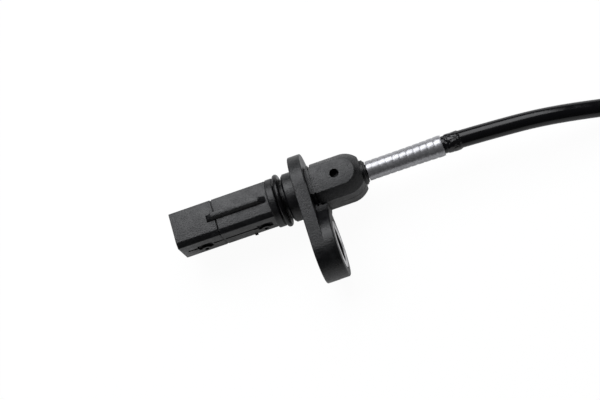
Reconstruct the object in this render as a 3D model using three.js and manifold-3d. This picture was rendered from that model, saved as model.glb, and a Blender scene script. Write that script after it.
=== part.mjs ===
import * as THREE from 'three';
import { mergeVertices } from 'three/addons/utils/BufferGeometryUtils.js';
import Module from 'manifold-3d';

const wasm = await Module();
wasm.setup();

// Wheel speed sensor with a moulded cable, lying on a surface. Lengths in millimetres, +Z up.
// The probe axis runs along X from the tip to the cable, and the bolt ear points to -Y.
// Axial positions are measured from the front face of the flange.

// Probe head: a moulded block with one wide flat face up and a sealed end cap
const headLength = 35.1;
const capLength = 12.2;
const headHalfWidth = 5.05;
const headHalfHeight = 5.25;
const tipChamferWidth = 1.55;
const neckChamferWidth = 1.15;
const headChamferHeight = 0.75;
const flatEndSetback = 7.95;
const capWall = 1.3;
const lowerWall = 1.6;
const jointGap = 0.25;
const headCavityLength = 10.4;
const fitGap = 0.25;

// Key rib on the wide face, its front end lying in a notch of the cap
const ribLength = 18.0;
const ribHeight = 1.4;
const ribTopHalfWidth = 0.62;
const ribOffset = 0.5;
const ribFlank = 0.95;
const ribRoot = 0.6;

// Moulding windows in the side face and the small pip beside each
const windowLength = 4.2;
const windowHeight = 3.4;
const windowDepth = 0.6;
const windowRise = -0.2;
const frontWindowStation = 6.6;
const rearWindowSetback = 3.4;
const pipRadius = 0.55;
const pipHeight = 0.3;
const pipDrop = 2.9;
const pipShift = 0.5;

// Round neck with the seal ring groove
const neckRadius = 6.7;
const neckLap = 0.15;
const neckFrontLength = 2.0;
const grooveWidth = 2.6;
const sealOuterRadius = 7.35;
const sealSection = 1.5;
const sealSetback = 4.9;
const collarChamfer = 0.5;

// Flange with its bolt ear
const flangeRadius = 10.4;
const flangeThickness = 3.5;
const earReach = 16.8;
const earRadius = 8.9;
const earThickness = 6.5;
const bossRootRadius = 2.5;
const bossRootReach = 7.5;
const bossInset = 0.05;

// Steel bush in the ear
const bushOuterRadius = 6.5;
const bushHoleRadius = 4.6;
const bushProud = 0.1;
const bushSeatGap = 0.15;

// Rear body: a bullet-shaped cable housing with a flat pad on its upper and lower side
const padHalfWidth = 3.7;
const padHeight = 7.2;
const sideHalfWidth = 5.8;
const sideHalfHeight = 3.8;
const noseStart = 13.2;
const noseEnd = 17.85;
const padNoseStart = 12.8;
const lipGap = 0.55;
const lipWidth = 0.5;
const lipDepth = 0.45;
const blindHoleStation = 11.1;
const blindHoleRadius = 1.25;
const blindHoleDepth = 2.6;
const gussetLength = 0.4;
const gussetReach = 8.0;
const gussetHalfHeight = 3.4;

// Cable exit: stepped collar, ringed sleeve, tape wrap
const exitStepRadius = 3.4;
const exitStepEnd = 18.65;
const exitNeckRadius = 2.9;
const exitEnd = 19.0;
const innerCableRadius = 1.9;
const innerCableStart = -1.8;
const sleeveRadius = 2.68;
const sleeveFlare = 0.14;
const sleeveLength = 21.1;
const sleeveBands = 11;
const sleeveBandDepth = 0.1;
const wrapLength = 4.7;
const wrapRadius = 2.7;
const seatGap = 0.3;
const restGap = 0.05;

// Free cable: it bends to -Y, sags to the surface, winds into a flat coil and ends in a plug on the coil
const cableRadius = 2.4;
const cableSides = 10;
const bendAngle = THREE.MathUtils.degToRad(7);
const bendStart = -40;
const bendEnd = 50;
const sagStart = 16;
const sagEnd = 60;
const coilBendAngle = THREE.MathUtils.degToRad(42);
const coilBendStart = 36;
const coilBendLength = 24;
const runLength = 60;
const coilMeanRadius = 24.2;
const coilTurnsAcross = 2;
const coilTurnsHigh = 2;
const turnPitch = 4.9;
const tailBendRadius = 20;
const tailBendAngle = THREE.MathUtils.degToRad(105);
const tailSeat = 7;

// Plug housing
const plugWidth = 15;
const plugHeight = 12;
const plugLength = 26;
const plugRearLength = 9;
const plugRearWidth = 11.4;
const plugRearHeight = 10.4;
const plugCorner = 1.6;
const mouthWidth = 12;
const mouthHeight = 9;
const mouthDepth = 14;
const grommetRadius = 4;
const grommetLength = 6;
const pinWidth = 1.4;
const pinHeight = 0.7;
const pinSpacing = 5;
const pinReach = 7;
const latchLength = 7;
const latchWidth = 5;
const latchHeight = 1.6;
const latchSetback = 3;
const lockThickness = 1.6;

// Electronics inside the head
const chipWidth = 4.4;
const chipThickness = 1.3;
const magnetLength = 4.0;
const leadSpacing = 2.6;
const leadWidth = 0.7;
const leadThickness = 0.35;
const leadLength = 11.4;
const crimpRadius = 0.85;
const crimpLength = 4.0;
const coreRadius = 0.7;
const capacitorLength = 2;
const capacitorHeight = 1.1;
const capacitorSetback = 1.2;
const carrierHalfWidth = 2.7;
const carrierLength = 14.6;
const passageRadius = 2.2;

const part = new THREE.Group();

// Axial stations
const tipX = -headLength;
const jointX = tipX + capLength;
const flatEndX = -flatEndSetback;
const grooveStartX = flatEndX + neckFrontLength;
const grooveEndX = grooveStartX + grooveWidth;
const cavityEndX = jointX + headCavityLength;
const sleeveStartX = exitEnd + seatGap;
const sleeveEndX = sleeveStartX + sleeveLength;
const wrapStartX = sleeveEndX + seatGap;
const wrapEndX = wrapStartX + wrapLength;
const cableStartX = wrapEndX + seatGap;
const surfaceZ = -flangeRadius;

part.position.set(
  -(tipX + wrapEndX) / 2,
  (earReach + earRadius - flangeRadius) / 2,
  flangeRadius,
);

// Helpers

function solidOf(geometry) {
  const bare = geometry.index ? geometry.toNonIndexed() : geometry.clone();
  bare.deleteAttribute('normal');
  bare.deleteAttribute('uv');
  const merged = mergeVertices(bare, 1e-4);
  const index = merged.index.array;
  const kept = [];
  for (let i = 0; i < index.length; i += 3) {
    const [a, b, c] = [index[i], index[i + 1], index[i + 2]];
    if (a !== b && b !== c && a !== c) kept.push(a, b, c);
  }
  return new wasm.Manifold(new wasm.Mesh({
    numProp: 3,
    vertProperties: new Float32Array(merged.attributes.position.array),
    triVerts: new Uint32Array(kept),
  }));
}

function geometryOf(solid) {
  const mesh = solid.getMesh();
  const geometry = new THREE.BufferGeometry();
  geometry.setAttribute('position', new THREE.BufferAttribute(new Float32Array(mesh.vertProperties), 3));
  geometry.setIndex(new THREE.BufferAttribute(new Uint32Array(mesh.triVerts), 1));
  geometry.computeVertexNormals();
  return geometry;
}

function joined(...geometries) {
  return geometryOf(geometries.map(solidOf).reduce((whole, next) => whole.add(next)));
}

function cut(geometry, ...tools) {
  return geometryOf(tools.map(solidOf).reduce((whole, tool) => whole.subtract(tool), solidOf(geometry)));
}

function common(geometry, other) {
  return geometryOf(solidOf(geometry).intersect(solidOf(other)));
}

function addPiece(name, geometry, look, group = part) {
  const piece = new THREE.Mesh(geometry, new THREE.MeshStandardMaterial(look));
  piece.name = name;
  group.add(piece);
  return piece;
}

// Section in the YZ plane carried along X
function alongX(shape, startX, endX, curveSegments = 24) {
  const geometry = new THREE.ExtrudeGeometry(shape, { depth: endX - startX, bevelEnabled: false, curveSegments });
  const turn = new THREE.Matrix4().makeBasis(
    new THREE.Vector3(0, 1, 0), new THREE.Vector3(0, 0, 1), new THREE.Vector3(1, 0, 0));
  return geometry.applyMatrix4(turn).translate(startX, 0, 0);
}

// Outline in the XZ plane carried along Y between two values
function alongY(points, startY, endY) {
  const shape = polygon(points.map(([x, z]) => [x, -z]));
  const geometry = new THREE.ExtrudeGeometry(shape, { depth: endY - startY, bevelEnabled: false });
  return geometry.rotateX(-Math.PI / 2).translate(0, startY, 0);
}

// Outline in the XY plane carried up Z
function alongZ(shape, startZ, endZ, curveSegments = 12) {
  return new THREE.ExtrudeGeometry(shape, { depth: endZ - startZ, bevelEnabled: false, curveSegments })
    .translate(0, 0, startZ);
}

function polygon(points) {
  return new THREE.Shape(points.map(([a, b]) => new THREE.Vector2(a, b)));
}

// Body of revolution about X from [x, radius] pairs
function turned(profile, segments = 40) {
  const points = profile.map(([x, radius]) => new THREE.Vector2(radius, x));
  return new THREE.LatheGeometry(points, segments).rotateZ(-Math.PI / 2);
}

function rod(startX, endX, radius, segments = 40) {
  return turned([[startX, 0], [startX, radius], [endX, radius], [endX, 0]], segments);
}

function tube(startX, endX, innerRadius, outerRadius, segments = 40) {
  return turned([
    [startX, innerRadius],
    [startX, outerRadius],
    [endX, outerRadius],
    [endX, innerRadius],
    [startX, innerRadius],
  ], segments);
}

function box(minX, maxX, minY, maxY, minZ, maxZ) {
  return new THREE.BoxGeometry(maxX - minX, maxY - minY, maxZ - minZ)
    .translate((minX + maxX) / 2, (minY + maxY) / 2, (minZ + maxZ) / 2);
}

// Outline around two circles whose centres lie on the Y axis, the second further to -Y
function aroundCircles(firstY, firstRadius, secondY, secondRadius) {
  const tangent = Math.PI - Math.acos((firstRadius - secondRadius) / (firstY - secondY));
  const shape = new THREE.Shape();
  shape.absarc(firstY, 0, firstRadius, -tangent, tangent, false);
  shape.absarc(secondY, 0, secondRadius, tangent, 2 * Math.PI - tangent, false);
  shape.closePath();
  return shape;
}

function roundedRectangle(width, height, radius, centreZ = 0) {
  const [w, h] = [width / 2, height / 2];
  const shape = new THREE.Shape();
  shape.absarc(w - radius, centreZ - h + radius, radius, -Math.PI / 2, 0, false);
  shape.absarc(w - radius, centreZ + h - radius, radius, 0, Math.PI / 2, false);
  shape.absarc(-w + radius, centreZ + h - radius, radius, Math.PI / 2, Math.PI, false);
  shape.absarc(-w + radius, centreZ - h + radius, radius, Math.PI, 1.5 * Math.PI, false);
  shape.closePath();
  return shape;
}

// Materials
const resin = { color: 0x3a3b3d, roughness: 0.62, metalness: 0 };
const carrierResin = { color: 0x2c3032, roughness: 0.6, metalness: 0 };
const chipResin = { color: 0x17181a, roughness: 0.45, metalness: 0 };
const magnetMetal = { color: 0x6f7175, roughness: 0.4, metalness: 0.8 };
const capacitorCeramic = { color: 0x8a6a45, roughness: 0.5, metalness: 0 };
const tinnedCopper = { color: 0xb9b4a8, roughness: 0.35, metalness: 0.9 };
const coreInsulation = { color: 0x2a2a2c, roughness: 0.5, metalness: 0 };
const sealRubber = { color: 0x101112, roughness: 0.35, metalness: 0 };
const bushSteel = { color: 0xc4c6c8, roughness: 0.3, metalness: 0.95 };
const greySleeve = { color: 0x9a9b9d, roughness: 0.4, metalness: 0.35 };
const tape = { color: 0x0d0d0e, roughness: 0.35, metalness: 0 };
const cableJacket = { color: 0x0c0c0d, roughness: 0.25, metalness: 0 };
const plugPlastic = { color: 0x1c1d1f, roughness: 0.45, metalness: 0 };
const lockPlastic = { color: 0x5a5d60, roughness: 0.5, metalness: 0 };

// Head block, its lower front corner chamfered wide at the tip and narrow at the neck
function headBlock(startX, endX) {
  const chamferAt = (x) => THREE.MathUtils.mapLinear(x, tipX, flatEndX, tipChamferWidth, neckChamferWidth);
  const edgeY = -headHalfWidth + tipChamferWidth;
  const shoulderZ = headHalfHeight - headChamferHeight;
  const section = polygon([
    [headHalfWidth, -headHalfHeight],
    [headHalfWidth, headHalfHeight],
    [edgeY, headHalfHeight],
    [-headHalfWidth, shoulderZ],
    [-headHalfWidth, -shoulderZ],
    [edgeY, -headHalfHeight],
  ]);
  const geometry = alongX(section, startX, endX);
  const position = geometry.attributes.position;
  for (let i = 0; i < position.count; i += 1) {
    if (Math.abs(position.getY(i) - edgeY) < 0.01) {
      position.setY(i, -headHalfWidth + chamferAt(position.getX(i)));
    }
  }
  return geometry;
}

// Key rib, its ends sloping down to the wide face
function keyRib(extra = 0) {
  const ribStart = flatEndX - ribLength;
  const topZ = headHalfHeight + ribHeight + extra;
  const rootZ = headHalfHeight - ribRoot - extra;
  const section = polygon([
    [ribOffset + ribTopHalfWidth + extra, rootZ],
    [ribOffset + ribTopHalfWidth + extra, topZ],
    [ribOffset - ribTopHalfWidth - extra, topZ],
    [ribOffset - ribTopHalfWidth - ribFlank - extra, rootZ],
  ]);
  const side = alongY([
    [ribStart - extra, rootZ - 1],
    [flatEndX + 0.2, rootZ - 1],
    [flatEndX + 0.2, headHalfHeight + 0.2],
    [flatEndX - 2.6, topZ],
    [ribStart + 1.9 - extra, topZ],
    [ribStart - extra, headHalfHeight + 0.2],
  ], -headHalfWidth, headHalfWidth);
  return common(alongX(section, ribStart - extra, flatEndX + 0.2), side);
}

// Shallow window in the side face that looks to -Y
function sideWindow(centreX) {
  return box(
    centreX - windowLength / 2, centreX + windowLength / 2,
    -headHalfWidth - 1, -headHalfWidth + windowDepth,
    windowRise - windowHeight / 2, windowRise + windowHeight / 2,
  );
}

function sidePip(centreX) {
  const pip = new THREE.CylinderGeometry(pipRadius, pipRadius, 2 * pipHeight, 14);
  return pip.translate(centreX + pipShift, -headHalfWidth, -pipDrop);
}

// Sensor body: rear of the head, neck, flange, ear and cable housing in one moulding

const headRear = headBlock(jointX, flatEndX + neckLap);
const neck = turned([
  [flatEndX, 0],
  [flatEndX, neckRadius - 0.2],
  [flatEndX + 0.2, neckRadius],
  [grooveStartX, neckRadius],
  [grooveStartX, sealOuterRadius - sealSection - 0.2],
  [grooveEndX, sealOuterRadius - sealSection - 0.2],
  [grooveEndX, neckRadius - collarChamfer],
  [grooveEndX + collarChamfer, neckRadius],
  [0.5, neckRadius],
  [0.5, 0],
]);
const flangePlate = alongX(aroundCircles(0, flangeRadius, -earReach, earRadius), 0, flangeThickness);
const bossOutline = aroundCircles(-bossRootReach, bossRootRadius, -earReach, earRadius - bossInset);
const earBoss = alongX(bossOutline, flangeThickness - 0.5, earThickness);

// Cable housing: a bullet outline in plan, drawn in towards the flat pads above and below
const housingLevels = [
  [-padHeight, padHalfWidth, padNoseStart],
  [-sideHalfHeight, sideHalfWidth, noseStart],
  [sideHalfHeight, sideHalfWidth, noseStart],
  [padHeight, padHalfWidth, padNoseStart],
];

function bulletSolid(startX, levels, arcSteps = 20) {
  const rings = levels.map(([z, halfWidth, centreX]) => {
    const ring = [[startX, -halfWidth, z]];
    for (let i = 0; i <= arcSteps; i += 1) {
      const angle = Math.PI * (i / arcSteps - 0.5);
      const x = Math.min(centreX + halfWidth * Math.cos(angle), noseEnd);
      ring.push([x, halfWidth * Math.sin(angle), z]);
    }
    ring.push([startX, halfWidth, z]);
    return ring;
  });
  const size = rings[0].length;
  const index = [];
  for (let i = 1; i < size - 1; i += 1) {
    index.push(0, i + 1, i);
    const top = (rings.length - 1) * size;
    index.push(top, top + i, top + i + 1);
  }
  for (let level = 0; level < rings.length - 1; level += 1) {
    for (let i = 0; i < size; i += 1) {
      const a = level * size + i;
      const b = level * size + (i + 1) % size;
      index.push(a, b, b + size, a, b + size, a + size);
    }
  }
  const geometry = new THREE.BufferGeometry();
  geometry.setAttribute('position', new THREE.Float32BufferAttribute(rings.flat(2), 3));
  geometry.setIndex(index);
  return geometry;
}

const exitCollar = turned([
  [noseStart, 0],
  [noseStart, exitStepRadius],
  [exitStepEnd, exitStepRadius],
  [exitStepEnd, exitNeckRadius],
  [exitEnd, exitNeckRadius],
  [exitEnd, 0],
], 32);
const gusset = alongZ(polygon([
  [flangeThickness - 0.3, -sideHalfWidth + 1],
  [earThickness + gussetLength, -sideHalfWidth + 1],
  [earThickness + gussetLength, -sideHalfWidth],
  [earThickness - 0.2, -gussetReach],
  [flangeThickness - 0.3, -gussetReach],
]), -gussetHalfHeight, gussetHalfHeight);

// Narrow groove around the cable housing just behind the flange
function housingGroove(startX, endX) {
  const inset = housingLevels.map(([z, halfWidth, centreX]) => [
    z - Math.sign(z) * lipDepth, halfWidth - lipDepth, centreX,
  ]);
  const reach = padHeight + sideHalfWidth;
  const ring = box(startX, endX, -reach, reach, -reach, reach);
  return cut(ring, bulletSolid(startX - 1, inset));
}

const lipStart = flangeThickness + lipGap;
const housing = cut(
  bulletSolid(flangeThickness - 0.5, housingLevels),
  housingGroove(flangeThickness, lipStart),
  housingGroove(lipStart + lipWidth, lipStart + lipWidth + lipGap),
);

const cavity = box(
  jointX - 1, cavityEndX,
  -headHalfWidth + lowerWall, headHalfWidth - capWall,
  -headHalfHeight + capWall, headHalfHeight - capWall,
);
const passage = rod(cavityEndX - 1, exitEnd + 1, passageRadius, 24);
const bushSeat = rod(-1, earThickness + 1, bushOuterRadius + bushSeatGap, 48).translate(0, -earReach, 0);
const blindHole = new THREE.CylinderGeometry(blindHoleRadius, blindHoleRadius, blindHoleDepth * 2, 20)
  .rotateX(Math.PI / 2)
  .translate(blindHoleStation, 0, padHeight);
const rearWindowX = flatEndX - rearWindowSetback;
const frontWindowX = tipX + frontWindowStation;

const bodyGeometry = cut(
  joined(
    headRear, keyRib(), neck, flangePlate, earBoss, housing, exitCollar, gusset,
    sidePip(rearWindowX),
  ),
  cavity, passage, bushSeat, blindHole,
  sideWindow(rearWindowX),
);
addPiece('sensor_body', bodyGeometry, resin);

// End cap, hollow from behind and notched for the front end of the rib
const capPocket = box(
  tipX + capWall, jointX + 1,
  -headHalfWidth + lowerWall, headHalfWidth - capWall,
  -headHalfHeight + capWall, headHalfHeight - capWall,
);
const capGeometry = cut(
  joined(headBlock(tipX, jointX - jointGap), sidePip(frontWindowX)),
  capPocket, keyRib(fitGap), sideWindow(frontWindowX));
addPiece('head_cap', capGeometry, resin);

// Sensing element stack: chip at the tip, magnet behind it, carrier, leads and crimps
const chipX = tipX + capWall + seatGap;
const leadZ = 0.1;
const stackFloorZ = -headHalfHeight + capWall + seatGap;
addPiece('hall_chip', box(
  chipX, chipX + chipThickness,
  -chipWidth / 2, chipWidth / 2,
  stackFloorZ, leadZ + leadThickness / 2,
), chipResin);

const magnetX = chipX + chipThickness + seatGap;
const magnetTopZ = leadZ - leadThickness / 2 - seatGap;
addPiece('bias_magnet', box(
  magnetX, magnetX + magnetLength,
  -chipWidth / 2, chipWidth / 2,
  stackFloorZ, magnetTopZ,
), magnetMetal);

const leadX = chipX + chipThickness + seatGap;
const crimpX = leadX + leadLength + seatGap;
const coreX = crimpX + crimpLength + seatGap;
const carrierX = magnetX + magnetLength + seatGap;
const crimpBedZ = leadZ - crimpRadius - seatGap;
const crimpBedX = crimpX - seatGap;
addPiece('element_carrier', alongY([
  [carrierX, stackFloorZ],
  [carrierX + carrierLength, stackFloorZ],
  [carrierX + carrierLength, crimpBedZ],
  [crimpBedX, crimpBedZ],
  [crimpBedX, magnetTopZ],
  [carrierX, magnetTopZ],
], -carrierHalfWidth, carrierHalfWidth), carrierResin);

const sides = [['a', 1], ['b', -1]];
for (const [letter, side] of sides) {
  const y = side * leadSpacing / 2;
  addPiece(`lead_${letter}`, box(
    leadX, leadX + leadLength,
    y - leadWidth / 2, y + leadWidth / 2,
    leadZ - leadThickness / 2, leadZ + leadThickness / 2,
  ), tinnedCopper);
  addPiece(`crimp_${letter}`, rod(crimpX, crimpX + crimpLength, crimpRadius, 14).translate(0, y, leadZ), tinnedCopper);
}

const capacitorX = carrierX + capacitorSetback;
addPiece('capacitor', box(
  capacitorX, capacitorX + capacitorLength,
  -leadSpacing / 2 - leadWidth / 2, leadSpacing / 2 + leadWidth / 2,
  leadZ + leadThickness / 2 + seatGap, leadZ + leadThickness / 2 + seatGap + capacitorHeight,
), capacitorCeramic);

// Insulated wire ends drawing together from the crimps into the inner cable
for (const [letter, side] of sides) {
  const path = new THREE.CatmullRomCurve3([
    new THREE.Vector3(coreX, side * leadSpacing / 2, leadZ),
    new THREE.Vector3(coreX + 1.5, side * leadSpacing / 2, leadZ),
    new THREE.Vector3(cavityEndX + 1, side * (coreRadius + 0.2), leadZ / 2),
    new THREE.Vector3(innerCableStart - seatGap, side * (coreRadius + 0.2), 0),
  ]);
  const section = new THREE.Shape().absarc(0, 0, coreRadius, 0, 2 * Math.PI, false);
  addPiece(`core_${letter}`, new THREE.ExtrudeGeometry(section, {
    extrudePath: path, steps: 10, curveSegments: 4,
  }), coreInsulation);
}

// Seal ring
const sealPath = [];
const sealSides = 14;
for (let i = 0; i <= sealSides; i += 1) {
  const angle = 2 * Math.PI * i / sealSides;
  sealPath.push([
    -sealSetback + sealSection / 2 * Math.sin(angle),
    sealOuterRadius - sealSection / 2 + sealSection / 2 * Math.cos(angle),
  ]);
}
addPiece('o_ring', turned(sealPath, 48), sealRubber);

// Steel bush
addPiece('flange_bush', turned([
  [0, bushHoleRadius + 0.3],
  [0, bushOuterRadius],
  [earThickness + bushProud - 0.2, bushOuterRadius],
  [earThickness + bushProud, bushOuterRadius - 0.2],
  [earThickness + bushProud, bushHoleRadius + 0.5],
  [earThickness + bushProud - 0.5, bushHoleRadius],
  [0.3, bushHoleRadius],
  [0, bushHoleRadius + 0.3],
], 48).translate(0, -earReach, 0), bushSteel);

// Inner cable from the wire ends to the middle of the tape
addPiece('inner_cable', rod(innerCableStart, wrapEndX, innerCableRadius, 16), cableJacket);

// Ringed sleeve, flared at its far end
const sleeveBore = innerCableRadius + seatGap;
const sleeveProfile = [[sleeveStartX, sleeveBore]];
const bandPitch = sleeveLength / sleeveBands;
for (let band = 0; band < sleeveBands; band += 1) {
  const startX = sleeveStartX + band * bandPitch;
  const radius = sleeveRadius + sleeveFlare * (band / (sleeveBands - 1)) ** 3;
  sleeveProfile.push([startX + 0.05, radius]);
  sleeveProfile.push([startX + bandPitch * 0.72, radius]);
  sleeveProfile.push([startX + bandPitch * 0.86, radius - sleeveBandDepth]);
}
sleeveProfile.push([sleeveEndX, sleeveRadius + sleeveFlare]);
sleeveProfile.push([sleeveEndX, sleeveBore]);
sleeveProfile.push([sleeveStartX, sleeveBore]);
addPiece('grey_sleeve', turned(sleeveProfile, 24), greySleeve);

// Tape wrap, a little uneven
addPiece('tape_wrap', turned([
  [wrapStartX, sleeveBore],
  [wrapStartX, wrapRadius - 0.1],
  [wrapStartX + wrapLength * 0.3, wrapRadius],
  [wrapStartX + wrapLength * 0.5, wrapRadius - 0.14],
  [wrapStartX + wrapLength * 0.75, wrapRadius - 0.02],
  [wrapEndX, cableRadius + 0.1],
  [wrapEndX, sleeveBore],
  [wrapStartX, sleeveBore],
], 24), tape);

// Free cable
function cableTube(path, steps) {
  const section = new THREE.Shape();
  for (let i = 0; i < cableSides; i += 1) {
    const angle = 2 * Math.PI * i / cableSides;
    const point = [cableRadius * Math.cos(angle), cableRadius * Math.sin(angle)];
    if (i === 0) section.moveTo(...point);
    else section.lineTo(...point);
  }
  section.closePath();
  return new THREE.ExtrudeGeometry(section, { extrudePath: path, steps, curveSegments: 1 });
}

// Heading and height of the cable after a given length from the tape
const restZ = surfaceZ + cableRadius + restGap;
const points = [];
const cableStep = 2;
let [cableX, cableY] = [cableStartX, 0];
for (let s = 0; s <= runLength; s += cableStep) {
  const heading = -bendAngle * THREE.MathUtils.smoothstep(s, bendStart, bendEnd)
    - coilBendAngle * THREE.MathUtils.smoothstep(s, coilBendStart, coilBendStart + coilBendLength);
  const drop = THREE.MathUtils.smoothstep(s, sagStart, sagEnd);
  points.push(new THREE.Vector3(cableX, cableY, restZ * drop));
  cableX += cableStep * Math.cos(heading);
  cableY += cableStep * Math.sin(heading);
}
const entryAngle = bendAngle + coilBendAngle;
const forward = new THREE.Vector3(Math.cos(entryAngle), -Math.sin(entryAngle), 0);
const leftward = new THREE.Vector3(Math.sin(entryAngle), Math.cos(entryAngle), 0);
const tangentPoint = points[points.length - 1].clone();

// Coil of flat turns, entered at its outer turn, which curves to the left
const outerTurnRadius = coilMeanRadius + turnPitch * (coilTurnsAcross - 1) / 2;
const coilHalfWidth = turnPitch * coilTurnsAcross / 2;
const coilHeight = turnPitch * (coilTurnsHigh - 1) + 2 * cableRadius;
const coilCentre = tangentPoint.clone().addScaledVector(leftward, outerTurnRadius);
const clearRadius = coilMeanRadius + coilHalfWidth + seatGap;

// The tube stops where its inner side comes within the gap of the ring
function sideReach(a, b) {
  const heading = b.clone().sub(a).setZ(0).normalize();
  const side = new THREE.Vector3(-heading.y, heading.x, 0).multiplyScalar(cableRadius);
  return b.clone().add(side).sub(coilCentre).setZ(0).length();
}

const runPoints = [points[0]];
for (let i = 1; i < points.length; i += 1) {
  const reach = sideReach(points[i - 1], points[i]);
  if (reach < clearRadius) {
    const before = sideReach(points[i - 2], points[i - 1]);
    const share = (before - clearRadius) / (before - reach);
    runPoints.push(points[i - 1].clone().lerp(points[i], share));
    break;
  }
  runPoints.push(points[i]);
}
addPiece('cable_run', cableTube(new THREE.CatmullRomCurve3(runPoints), 10), cableJacket);

const coilGeometry = new THREE.LatheGeometry([
  new THREE.Vector2(coilMeanRadius - coilHalfWidth, 0),
  new THREE.Vector2(coilMeanRadius + coilHalfWidth, 0),
  new THREE.Vector2(coilMeanRadius + coilHalfWidth, coilHeight),
  new THREE.Vector2(coilMeanRadius - coilHalfWidth, coilHeight),
  new THREE.Vector2(coilMeanRadius - coilHalfWidth, 0),
], 40).rotateX(Math.PI / 2);
const coil = addPiece('cable_coil', coilGeometry, cableJacket);
coil.position.set(coilCentre.x, coilCentre.y, surfaceZ);

// Tail on top of the coil, curving inwards and rising to the plug that lies across the ring
const coilTopZ = surfaceZ + coilHeight;
const tailStartZ = coilTopZ + seatGap + cableRadius;
const plugCableZ = coilTopZ + seatGap + plugHeight / 2;
const tailCentre = tangentPoint.clone().addScaledVector(leftward, tailBendRadius);

function alongTail(angle) {
  const rise = THREE.MathUtils.smoothstep(angle, 0, tailBendAngle * 0.9);
  const point = tailCentre.clone()
    .addScaledVector(leftward, -tailBendRadius * Math.cos(angle))
    .addScaledVector(forward, tailBendRadius * Math.sin(angle));
  point.z = THREE.MathUtils.lerp(tailStartZ, plugCableZ, rise);
  return point;
}

const tailPoints = [];
const tailSteps = 8;
for (let i = 0; i <= tailSteps; i += 1) tailPoints.push(alongTail(tailBendAngle * i / tailSteps));
const plugForward = forward.clone().multiplyScalar(Math.cos(tailBendAngle))
  .addScaledVector(leftward, Math.sin(tailBendAngle));
const plugPoint = tailPoints[tailSteps].clone();
tailPoints.push(plugPoint.clone().addScaledVector(plugForward, tailSeat));
addPiece('cable_tail', cableTube(new THREE.CatmullRomCurve3(tailPoints), 10), cableJacket);

// Plug, its mouth pointing away from the cable
const plug = new THREE.Group();
plug.position.copy(plugPoint);
plug.rotation.z = tailBendAngle - entryAngle;
part.add(plug);

const mouthStart = plugLength - mouthDepth;
const latchStart = plugRearLength + latchSetback;
const plugShell = joined(
  alongX(roundedRectangle(plugRearWidth, plugRearHeight, plugCorner), 0, plugRearLength + 0.5, 4),
  alongX(roundedRectangle(plugWidth, plugHeight, plugCorner), plugRearLength, plugLength, 4),
  alongY([
    [latchStart, plugHeight / 2 - 0.5],
    [latchStart + latchLength, plugHeight / 2 - 0.5],
    [latchStart + latchLength, plugHeight / 2 + 0.3],
    [latchStart + latchLength * 0.3, plugHeight / 2 + latchHeight],
    [latchStart, plugHeight / 2 + latchHeight],
  ], -latchWidth / 2, latchWidth / 2),
);
const pinSlots = sides.map(([, side]) => box(
  plugRearLength - 3, mouthStart + 1,
  side * pinSpacing / 2 - pinWidth / 2 - fitGap, side * pinSpacing / 2 + pinWidth / 2 + fitGap,
  -pinHeight / 2 - fitGap, pinHeight / 2 + fitGap,
));
addPiece('connector_housing', cut(
  plugShell,
  alongX(roundedRectangle(mouthWidth, mouthHeight, plugCorner / 2), mouthStart, plugLength + 1, 3),
  rod(-1, plugRearLength - 1, grommetRadius + fitGap, 24),
  ...pinSlots,
), plugPlastic, plug);
addPiece('cable_grommet', tube(
  0.3, grommetLength, cableRadius + seatGap, grommetRadius, 24,
), sealRubber, plug);
for (const [letter, side] of sides) {
  addPiece(`terminal_${letter}`, box(
    plugRearLength - 0.7, mouthStart + pinReach,
    side * pinSpacing / 2 - pinWidth / 2, side * pinSpacing / 2 + pinWidth / 2,
    -pinHeight / 2, pinHeight / 2,
  ), tinnedCopper, plug);
}
const lockSlots = sides.map(([, side]) => box(
  mouthStart, mouthStart + 2 * lockThickness,
  side * pinSpacing / 2 - pinWidth / 2 - seatGap, side * pinSpacing / 2 + pinWidth / 2 + seatGap,
  -pinHeight / 2 - seatGap, pinHeight / 2 + seatGap,
));
addPiece('terminal_lock', cut(
  box(
    mouthStart + seatGap, mouthStart + seatGap + lockThickness,
    -mouthWidth / 2 + seatGap, mouthWidth / 2 - seatGap,
    -mouthHeight / 2 + seatGap, mouthHeight / 2 - seatGap,
  ),
  ...lockSlots,
), lockPlastic, plug);

export default part;
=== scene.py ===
import math
import bmesh
import bpy
from mathutils import Matrix, Vector, noise


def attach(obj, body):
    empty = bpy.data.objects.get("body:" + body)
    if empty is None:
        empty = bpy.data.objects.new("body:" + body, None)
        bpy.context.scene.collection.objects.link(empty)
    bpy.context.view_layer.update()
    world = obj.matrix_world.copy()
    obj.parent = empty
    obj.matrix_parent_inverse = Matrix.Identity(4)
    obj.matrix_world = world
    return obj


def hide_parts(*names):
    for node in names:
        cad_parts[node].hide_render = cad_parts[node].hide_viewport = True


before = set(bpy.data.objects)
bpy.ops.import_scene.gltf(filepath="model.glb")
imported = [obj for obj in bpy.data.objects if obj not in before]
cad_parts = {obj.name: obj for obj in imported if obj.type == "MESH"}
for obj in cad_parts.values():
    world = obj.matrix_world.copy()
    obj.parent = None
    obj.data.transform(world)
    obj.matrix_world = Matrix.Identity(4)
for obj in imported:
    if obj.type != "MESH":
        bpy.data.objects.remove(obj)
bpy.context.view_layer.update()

scene = bpy.context.scene
scene.view_settings.view_transform = "Standard"

# Pieces are shaped in millimetres about the probe axis, from the front face of the flange
mm = 0.001
axisOrigin = Vector((-5.15, 7.65, 10.4))
toRow = Matrix.Scale(mm, 4) @ Matrix.Translation(axisOrigin)


# Camera
camera = {
    "place": (37.55, -128.55, 387.3),
    "right": (0.93987, -0.27312, -0.20505),
    "down": (-0.32433, -0.90187, -0.28537),
    "forward": (-0.10699, 0.33471, -0.93623),
    "lens": 90.06,
}


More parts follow.
